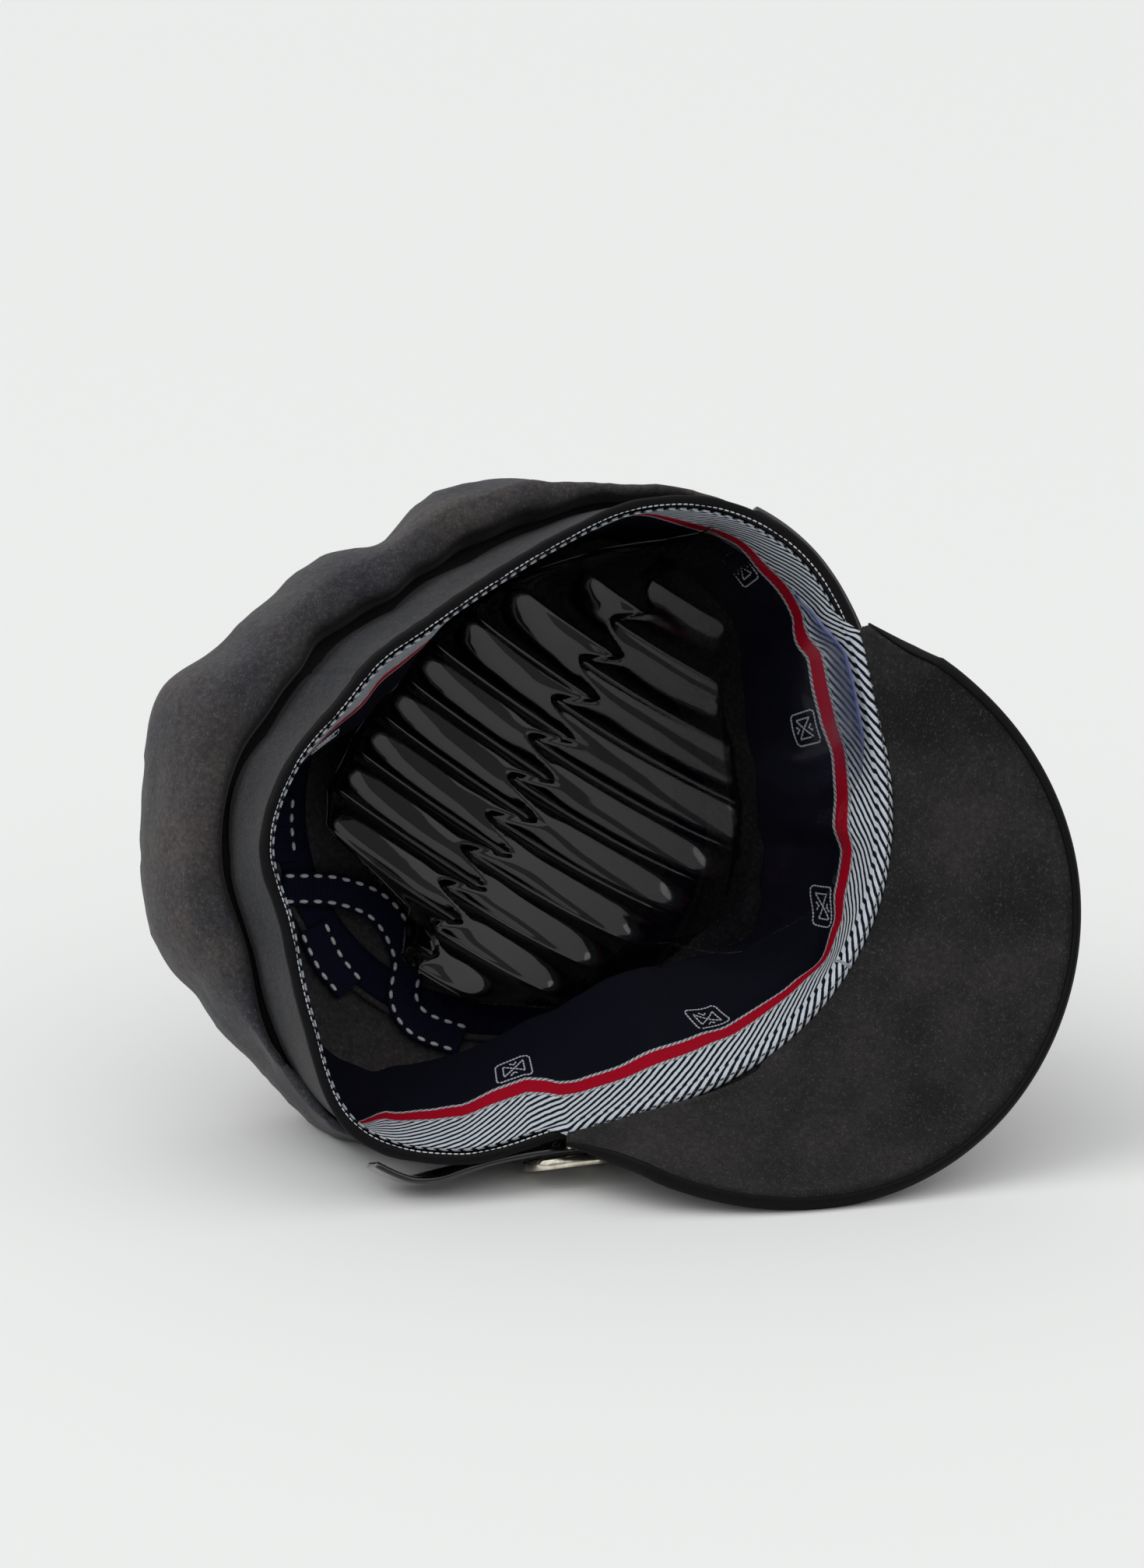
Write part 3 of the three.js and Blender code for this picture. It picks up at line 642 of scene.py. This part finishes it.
bandShares = np.linspace(0, 1, 12)
bandLow, bandHigh = edgingRadius + pieceGap, bandHeight - pieceGap
band = np.stack([
    polar(crownAt, lerp(rimRadius(crownAt), bandTopRadius(crownAt), s), lerp(bandLow, bandHigh, s))
    for s in bandShares
])
bandFolds = wrinkle(band, bandLook["folds"], 5.7) - 0.5
puckerWave = np.abs(sin(crownAt * 7 + 50 * sin(crownAt * 2)))
puckers = puckerWave[None] * bandShares[:, None] ** 3 * bandLook["puckers"]
seamAway = np.mod(crownAt - bandLook["seamAt"] + 180, 360) - 180
seamDip = np.exp(-(seamAway / 0.8) ** 2) * bandLook["seamDip"]
bandOut = (bandFolds - seamDip[None]) * 0.7 + puckers - 0.4
band = band + unit(band * np.array([1, 1, 0])) * bandOut[..., None]
bandLaid = laid(band, bandLook["floorGap"])
uv = np.stack(np.broadcast_arrays(crownAt[None] / 10, bandShares[:, None] * 4), -1)
bandPiece = sheet("band_cloth", bandLaid, uv, bandLook["wall"], True, inner=1)
bandPiece.data.materials.append(bandCloth)
bandPiece.data.materials.append(lining)
ride(bandPiece, "cloth", "band")

edgeLook = {"stitch": 1.35, "gap": 0.4, "radius": 0.25}

fineAt = np.arange(720) * 0.5
around = np.arange(12) * 30
ripple = 1 + 0.05 * sin(fineAt * 24) + 0.04 * sin(fineAt * 55)
edgeFine = polar(fineAt[:, None], rimRadius(fineAt)[:, None] + (edgingRadius * ripple)[:, None] * cos(around),
                 edgingRadius * sin(around) * ripple[:, None])
edgePiece = tube("satin_edge", laid(edgeFine), 60, closed=True)
edgePiece.data.materials.append(edging)
ride(edgePiece, "edging", "rim_edging")

stitchAt = np.arange(0, 360.1, 0.5)
stitchPath = laid(polar(stitchAt, rimRadius(stitchAt) - edgingRadius * 0.92, -edgingRadius * 0.42))
inwardNormal = polar(stitchAt, -0.8, -0.6) @ turn.T
peakShare = peakSpread / 360
edgeStitch = (edgeLook["stitch"], edgeLook["gap"], edgeLook["radius"])
stitches = stitchRow("edge_stitches", stitchPath, inwardNormal, *edgeStitch,
                     lambda t: t < peakShare or t > 1 - peakShare)
stitches.data.materials.append(thread)
ride(stitches, "ribbon")
turnedPath = laid(polar(stitchAt, rimRadius(stitchAt) - 0.1, -edgingRadius - 1.3))
turnedStitches = stitchRow("edge_stitches_dark", turnedPath, inwardNormal, *edgeStitch,
                           lambda t: peakShare - 0.01 <= t <= 1.01 - peakShare)
turnedStitches.data.materials.append(darkThread)
ride(turnedStitches, "ribbon")
print("band made")


ribbonLook = {"wall": 0.6, "seam": 0.3, "turned": 4.3, "turnedRadius": edgingRadius + 0.65, "turnedAt": 64,
              "creases": (0.35, 0.25), "lastWave": 17}


def ribbonStart(at):
    return rimRadius(at) - edgingRadius - pieceGap - ribbonWall / 2 - 0.2


def ribbonTilt(at):
    return ribbonLean * soft("lean", at)


# Waves of the striped part: place in degrees, extra lean in degrees
ribbonWaves = np.array([
    [-108, 0], [-99, -12], [-94, -26], [-89, -28], [-85, -8], [-80, -3], [-75, 0], [-69, 14], [-61, 9],
    [-53, -2], [-45, -8], [-38, 0], [-28, -9], [-21, -18], [-13, -20], [-6, -20], [1, -31], [7, -25],
    [13, -13], [20, -12], [25, 4], [31, -3], [38, -3], [46, 8], [53, 14], [60, 8], [66, -8], [75, -5],
    [83, -14], [92, -9], [101, -11], [112, -3], [122, 0],
])


def ribbonWave(at):
    at = np.mod(at + 110, 360) - 110
    row = np.clip(np.searchsorted(ribbonWaves[:, 0], at) - 1, 0, len(ribbonWaves) - 2)
    t = np.clip((at - ribbonWaves[row, 0]) / (ribbonWaves[row + 1, 0] - ribbonWaves[row, 0]), 0, 1)
    return lerp(ribbonWaves[row, 1], ribbonWaves[row + 1, 1], t * t * (3 - 2 * t))


def turnedEdge(at):
    away = np.abs(np.mod(at + 180, 360) - 180)
    return ribbonLook["seam"] + ribbonLook["turned"] * np.clip((ribbonLook["turnedAt"] - away) / 6, 0, 1)


# A reach below 0 lies on the part that is turned over the edging at the peak
def ribbonPoint(at, reach, away=0.0):
    at = np.asarray(at, float)
    if reach < 0:
        angle = -180 - reach * turnedEdge(at) * 27
        radius = ribbonLook["turnedRadius"] + away
        turned = polar(at, rimRadius(at) + radius * cos(angle), radius * sin(angle))
        covered = turnedEdge(at)[..., None] / (ribbonLook["seam"] + ribbonLook["turned"])
        return lerp(ribbonPoint(at, 0.3 + 0.25 * reach, away), turned, covered ** 0.9)
    steps = (np.arange(24) + 0.5) / 24 * reach
    past = np.clip((steps - ribbonLook["lastWave"]) / 5, 0, 1)
    waving = 1 - past * 1.55
    tilt = ribbonTilt(at)[..., None] + ribbonWave(at)[..., None] * waving
    last = tilt[..., -1]
    radius = ribbonStart(at) - sin(tilt).mean(-1) * reach - away * cos(last)
    return polar(at, radius, ribbonInset + cos(tilt).mean(-1) * reach - away * sin(last))


ribbonAt = np.arange(600) * 0.6
ribbonReaches = np.concatenate([np.linspace(-1, -0.1, 7), np.linspace(0, ribbonLength, 40)])
ribbon = np.stack([ribbonPoint(ribbonAt, r) for r in ribbonReaches])
longCrease, shortCrease = ribbonLook["creases"]
creases = longCrease * sin(ribbonAt * 14 + 40 * sin(ribbonAt * 2)) + shortCrease * sin(ribbonAt * 23 + 60)
creasing = np.clip(ribbonReaches / 14, 0, 1)[:, None] * creases[None]
ribbon = ribbon - unit(ribbon * np.array([1, 1, 0])) * creasing[..., None]
rim = polar(ribbonAt, rimRadius(ribbonAt), 0)
lengths = np.concatenate([[0], np.cumsum(np.linalg.norm(np.diff(rim, axis=0), axis=1))])
patternStart = turnedEdge(ribbonAt)
reaches = ribbonReaches[:, None]
across = np.where(reaches < 0, (reaches + 1) * patternStart, np.maximum(reaches, 0) + patternStart)
across = across + 0.5 * creasing
uv = np.stack(np.broadcast_arrays(lengths[None], across), -1)
ribbonPiece = sheet("sweatband_ribbon", laid(ribbon), uv, ribbonLook["wall"], True)
ribbonPiece.data.materials.append(ribbonCloth)
ride(ribbonPiece, "ribbon", "sweatband")
laid(ribbon)

# Badges woven on the ribbon's navy part: a plain frame with a small knot of crossed stitches
badgeLines = (
    [(0.08, 0), (0.92, 0), (1, 0.1), (1, 0.9), (0.92, 1), (0.08, 1), (0, 0.9), (0, 0.1), (0.08, 0)],
    [(0.2, 0.22), (0.5, 0.5), (0.8, 0.22), (0.8, 0.78), (0.5, 0.5), (0.2, 0.78), (0.2, 0.22)],
    [(0.38, 0.16), (0.5, 0.3), (0.62, 0.16)],
    [(0.38, 0.84), (0.5, 0.7), (0.62, 0.84)],
)
badgeLook = {"start": 20.3, "height": 8.2, "span": 6.8, "centres": (-66, -23, 10, 45, 79, 200),
             "stitch": 0.9, "gap": 0.12, "radius": 0.26, "proud": 0.55}
for number, centre in enumerate(badgeLook["centres"]):
    for part, corners in enumerate(badgeLines):
        path = []
        for (u0, v0), (u1, v1) in zip(corners[:-1], corners[1:]):
            for t in np.linspace(0, 1, 6):
                at = centre + (lerp(u0, u1, t) - 0.5) * badgeLook["span"]
                across = badgeLook["start"] + lerp(v0, v1, t) * badgeLook["height"]
                reach = across - float(turnedEdge(at))
                path.append(ribbonPoint(at, reach, badgeLook["proud"]))
        path = laid(np.array(path))
        facing = np.repeat((polar(np.array([centre]), -0.7, -0.7) @ turn.T), len(path), 0)
        woven = stitchRow("badge_%d_%d" % (number, part), path, facing,
                          badgeLook["stitch"], badgeLook["gap"], badgeLook["radius"])
        woven.data.materials.append(greyThread)
        ride(woven, "ribbon")
print("sweatband made")

peakLook = {"lap": 0.9, "taper": 12, "thinnest": 0.25}

peakAt = np.linspace(-peakEnd, peakEnd, 121)
peakShares = np.linspace(0, 1, 22)
peak = np.stack([peakPoint(peakAt, s) for s in peakShares])
peak[-1] += unit(peak[-1] - peak[-2]) * peakLook["lap"]  # no light between cloth and piping
uv = np.stack(np.broadcast_arrays(peakAt[None] / 8, peakShares[:, None] * 6), -1)
peakPiece = sheet("peak_cloth", laid(peak), uv, peakWall)
peakPiece.data.materials.append(peakCloth)
ride(peakPiece, "cloth", "peak")
pipingAt = np.linspace(-peakEnd, peakEnd, 181)
piping = trimRings(pipingAt, 16)
pipingMiddle = piping.mean(1, keepdims=True)
thinning = np.clip((peakEnd + 2 - np.abs(pipingAt)) / peakLook["taper"], peakLook["thinnest"], 1)
piping = pipingMiddle + (piping - pipingMiddle) * thinning[:, None, None]
trimPiece = tube("peak_piping", laid(piping), 30)
trimPiece.data.materials.append(edging)
ride(trimPiece, "edging", "peak_trim")
print("peak made")


strapLook = {"leftEnd": 1.5, "rightEnd": 1, "softEdge": 0.4}
slideLook = {"corner": 3.2, "squareness": 0.6}


def strapPoint(at, share):
    stand = strapSeat + strapWall / 2 + strapSlack * soft("slack", at)
    radius = lerp(rimRadius(at), bandTopRadius(at), strapRise / bandHeight) + bandWall / 2

    def raw(k):
        return laid(polar(at, radius + stand, strapRise + strapWidth * (k - 0.5)))

    underSlide = np.exp(-(((at - slideAt) / 20) ** 4))
    clearance = strapWall / 2 + (slideDepth + slideSeatGap * 2) * underSlide
    point = raw(share)
    raised = point[..., 2] + np.maximum(0, clearance - np.minimum(raw(0)[..., 2], raw(1)[..., 2]))
    point[..., 2] = lerp(np.maximum(point[..., 2], clearance), raised, underSlide)
    return point


strapAt = np.linspace(-strapSpread + strapLook["leftEnd"], strapSpread - strapLook["rightEnd"], 260)
strapGrid = np.stack([lerp(strapPoint(strapAt, 0), strapPoint(strapAt, 1), s) for s in np.linspace(0, 1, 7)])
uv = np.stack(np.broadcast_arrays(strapAt[None], np.linspace(0, 13, 7)[:, None]), -1)
strapPiece = sheet("patent_strap", strapGrid, uv, strapWall)
soften = strapPiece.modifiers.new("soften", "BEVEL")
soften.width = strapLook["softEdge"] / 1000
soften.segments = 2
soften.angle_limit = math.radians(50)
applyAll(strapPiece)
strapPiece.data.materials.append(patent)
ride(strapPiece, "strap", "strap")

slidePoint = np.array([float(slideAt)])
slideUp = unit(strapPoint(slidePoint, 1) - strapPoint(slidePoint, 0))[0]
slideAlong = unit(strapPoint(slidePoint + 4, 0.5) - strapPoint(slidePoint - 4, 0.5))[0]
slideOut = unit(np.cross(slideUp, slideAlong))
slideUp = np.cross(slideOut, slideAlong)
slideSeat = strapPoint(slidePoint, 0.5)[0] + slideOut * (strapWall / 2 + slideSeatGap)
corner = slideLook["corner"]
loop = []
for cx, cy, start in ((1, 1, 0), (-1, 1, 90), (-1, -1, 180), (1, -1, 270)):
    for angle in np.linspace(start, start + 90, 7):
        loop.append((cx * (slideLength / 2 - slideBar / 2 - corner) + corner * cos(angle),
                     cy * (slideHeight / 2 - slideBar / 2 - corner) + corner * sin(angle)))
loop = np.array(loop)
rings = []
for index, (x, y) in enumerate(loop):
    before, after = loop[index - 1], loop[(index + 1) % len(loop)]
    ahead = unit(after - before)
    outwards = np.array([ahead[1], -ahead[0]])
    ring = []
    for angle in np.arange(12) * 30:
        bulge = slideBar / 2 * np.sign(cos(angle)) * abs(cos(angle)) ** slideLook["squareness"]
        rise = slideDepth / 2 * (1 + np.sign(sin(angle)) * abs(sin(angle)) ** slideLook["squareness"])
        px, py = np.array([x, y]) + outwards * bulge
        ring.append(slideSeat + slideAlong * px + slideUp * py + slideOut * rise)
    rings.append(ring)
slidePiece = tube("gold_slide", np.array(rings), 4, closed=True)
slidePiece.data.materials.append(gold)
ride(slidePiece, "metal", "slide")
barRings = []
for y in np.linspace(-slideHeight / 2 + 1, slideHeight / 2 - 1, 9):
    bend = 1 - (2 * abs(y) / slideHeight) ** 6
    depth = -(strapWall + slideSeatGap * 2 + slideTongue / 2) * bend
    barMiddle = slideSeat + slideUp * y + slideOut * depth
    barRings.append([
        barMiddle + slideAlong * slideBar / 2 * cos(a) + slideOut * slideTongue / 2 * sin(a)
        for a in np.arange(10) * 36
    ])
slideBarPiece = tube("gold_slide_bar", np.array(barRings), 3)
slideBarPiece.data.materials.append(gold)
ride(slideBarPiece, "metal")
print("strap made")


filmLook = {"wall": 0.35, "breakAt": 0.47, "breakWave": 0.035, "breakStep": 0.22, "breakSharp": 160,
            "ribRound": 2.4, "crumple": 0.5, "frontDrop": 5.5, "frontOut": 2.4, "floorGap": 4.8}


def filmPoint(across, share):
    def line(column):
        return np.interp(across, filmLines[:, 0], filmLines[:, column])

    rise = np.where(across > 0, np.sqrt(np.maximum(1 - across * across, 0)), 1 - 0.35 * across * across)
    crestHeight = filmTop * rise
    theta = lerp(-90, 90, share)
    back = theta < 0
    end = np.where(back, line(1), line(2)) * filmReach
    endUp = np.where(back, line(3), line(4)) * filmTop
    crest = 0.12 * filmReach * (1 - np.abs(across))
    y = lerp(crest, end, np.abs(sin(theta)))
    lowFront = np.clip((across - 0.5) / 0.2, 0, 1) * np.clip((0.97 - across) / 0.1, 0, 1)
    endUp = np.where(back, endUp, endUp - filmLook["frontDrop"] * lowFront)
    z = lerp(np.minimum(endUp, crestHeight), crestHeight, cos(theta))
    breakLine = filmLook["breakAt"] + filmLook["breakWave"] * sin(across * 360 * filmReach / pleatPitch)
    step = filmLook["breakStep"] * np.tanh((share - breakLine) * filmLook["breakSharp"])
    phase = np.mod(across * filmReach / pleatPitch + step, 1)
    pleat = 1 - np.abs(2 * phase - 1) ** filmLook["ribRound"]
    nearBreak = np.exp(-((share - breakLine) / 0.05) ** 2)
    crumple = filmLook["crumple"] * sin(share * 1500 + across * 700) * nearBreak
    depth = (pleatDepth + crumple) * 1.1 * np.where(back, 1, cos(theta * 0.9))
    z = z - depth * pleat
    x = across * filmReach
    at = np.degrees(np.arctan2(x, y))
    tilt = ribbonTilt(at)
    nearSeam = np.clip(1 - (z - 16) / 20, 0, 1) * np.clip(z / 12, 0, 1)
    waving = np.maximum(15 * (sin(tilt + ribbonWave(at)) - sin(tilt)) * nearSeam, -2)  # the ribbon below it
    nearFront = np.clip((share - 0.75) / 0.2, 0, 1)
    inset = lerp(filmInset - np.where(back, 1, 0), filmInset - filmLook["frontOut"] * lowFront, nearFront)
    freeHeight = ribbonInset + ribbonLength * cos(tilt)
    leaning = (np.clip(z, ribbonInset, freeHeight) - ribbonInset) * np.tan(np.radians(tilt))
    inside = ribbonStart(at) - leaning - waving - inset / cos(tilt)
    limit = inside + np.maximum(z - freeHeight - filmFlare, 0)
    keep = np.minimum(1, limit / np.maximum(np.hypot(x, y), 1e-6))
    return np.stack([x * keep, y * keep, z], -1)


filmAcross = np.arange(-0.64, 1.0, 0.0074)
filmShares = np.linspace(0, 1, 110)
film = np.stack([filmPoint(filmAcross, s) for s in filmShares])
uv = np.stack(np.broadcast_arrays(filmAcross[None], filmShares[:, None]), -1)
filmLaid = laid(film, filmLook["floorGap"])
filmPiece = sheet("pleated_film", filmLaid, uv, filmLook["wall"])
filmPiece.data.materials.append(clearFilm)
ride(filmPiece, "film", "crown_film")
print("film made")


tapeLook = {"stitch": 2.5, "gap": 1.7, "radius": 0.6, "stitchAside": 0.38, "floorGap": crownWall * 2,
            "ringFloorGap": 2.9}


def tapePiece(name, path, node):
    path = np.array(path) * np.array([topRadius, topRadius, crownHeight])
    t = np.linspace(0, len(path) - 1, len(path) * 12)
    k = np.minimum(t.astype(int), len(path) - 2)
    f = (t - k)[:, None]
    padded = np.concatenate([[2 * path[0] - path[1]], path, [2 * path[-1] - path[-2]]])
    a, b, c, d = (padded[k + n] for n in range(4))
    middle = b + 0.5 * f * (c - a + f * (2 * a - 5 * b + 4 * c - d + f * (3 * (b - c) + d - a)))
    ahead = unit(np.gradient(middle, axis=0))
    across = unit(np.stack([ahead[:, 1], -ahead[:, 0], 0 * ahead[:, 0]], -1))
    halves = np.linspace(-0.5, 0.5, 7)
    grid = np.stack([middle + across * h * tapeWidth for h in halves])
    lengths = np.concatenate([[0], np.cumsum(np.linalg.norm(np.diff(middle, axis=0), axis=1))])
    uv = np.stack(np.broadcast_arrays(lengths[None], halves[:, None] * tapeWidth), -1)
    piece = sheet(name, laid(grid, tapeLook["floorGap"]), uv, tapeWall)
    piece.data.materials.append(navyTape)
    ride(piece, "tape", node)
    laid(grid, tapeLook["floorGap"])
    down = np.repeat([-turn[:, 2]], len(middle), 0)
    for sideSign in (-1, 1):
        line = laid(middle + across * sideSign * tapeWidth * tapeLook["stitchAside"], tapeLook["floorGap"])
        row = stitchRow("%s_stitches_%d" % (name, sideSign + 1), line + down * (tapeWall / 2 + 0.1), down,
                        tapeLook["stitch"], tapeLook["gap"], tapeLook["radius"])
        row.data.materials.append(tapeThread)
        ride(row, "tape")


tapePiece("tape_back_ribbed", [
    [-0.46, -0.84, 0.903], [-0.57, -0.78, 0.903], [-0.7, -0.68, 0.903],
], "tape_back")
tapePiece("tape_cross_ribbed", [
    [-0.8, -0.62, 0.899], [-0.68, -0.41, 0.89], [-0.65, -0.2, 0.88], [-0.76, 0, 0.895],
    [-0.92, 0.08, 0.898], [-0.98, 0.2, 0.896], [-0.94, 0.4, 0.895],
], "tape_cross")
tapePiece("tape_loose_ribbed", [
    [-0.87, -0.42, 0.902], [-0.96, -0.28, 0.9], [-1.01, -0.14, 0.898],
], "tape_loose")
ringAt = np.arange(240) * 1.5
ringUnder = crownWall / 2 + pieceGap * 2 + tapeWall / 2
ringRows = []
for h in np.linspace(-0.5, 0.5, 7):
    radius = topRadius - tapeWidth * (0.6 - h)
    ringRows.append(polar(ringAt, radius, crownHeight - topDish * (radius / topRadius) ** 2 - ringUnder))
ringUv = np.stack(np.broadcast_arrays(ringAt[None] * 1.1, np.linspace(0, 10, 7)[:, None]), -1)
ringLaid = laid(np.stack(ringRows), tapeLook["ringFloorGap"])
ringPiece = sheet("tape_ring_ribbed", ringLaid, ringUv, tapeWall, True)
ringPiece.data.materials.append(navyTape)
ride(ringPiece, "tape", "tape_ring")
print("tapes made")

floorHalf = 30000
floorCorners = [[-floorHalf, -floorHalf, 0], [floorHalf, -floorHalf, 0], [floorHalf, floorHalf, 0],
                [-floorHalf, floorHalf, 0]]
floor = makeMesh("floor", floorCorners, [(0, 1, 2, 3)])
floorMaterial, floorTree, floorShader = newMaterial("pale_floor", Roughness=0.75)
floorShader.inputs["Base Color"].default_value = (0.82, 0.83, 0.825, 1)
floorShader.inputs["Specular IOR Level"].default_value = 0.2
floor.data.materials.append(floorMaterial)

# Each sun has the direction it shines from, its spread in degrees and its power
lightLook = {
    "sky": {"color": (0.99, 1, 0.98, 1), "power": 0.32},
    "suns": {"key": ((-0.6, -0.1, 0.75), 45, 0.78), "sky": ((-0.15, -0.1, 1), 130, 1.68)},
}
world = bpy.data.worlds.new("studio")
scene.world = world
world.use_nodes = True
background = world.node_tree.nodes["Background"]
background.inputs[0].default_value = lightLook["sky"]["color"]
background.inputs[1].default_value = lightLook["sky"]["power"]
for name, (direction, spread, power) in lightLook["suns"].items():
    sun = bpy.data.lights.new(name, "SUN")
    sun.energy = power
    sun.angle = math.radians(spread)
    lamp = bpy.data.objects.new(name, sun)
    scene.collection.objects.link(lamp)
    lamp.rotation_euler = Vector(direction).to_track_quat("Z", "Y").to_euler()

# The eye is in metres from the middle of the head opening, and looks down at 15 degrees
cameraLook = {"lens": 84.01, "eye": (0.003, -0.9855, 0.263), "pitch": 75}
camera = bpy.data.cameras.new("camera")
camera.lens = cameraLook["lens"]
camera.sensor_width = 36
camera.clip_start = 0.05
camera.clip_end = 100
eye = bpy.data.objects.new("camera", camera)
scene.collection.objects.link(eye)
openingMiddle = Vector((shift[0], shift[1], lift)) / 1000
eye.location = openingMiddle + Vector(cameraLook["eye"])
eye.rotation_euler = (math.radians(cameraLook["pitch"]), 0, 0)
scene.camera = eye
scene.view_settings.view_transform = "Standard"
print("stage made")
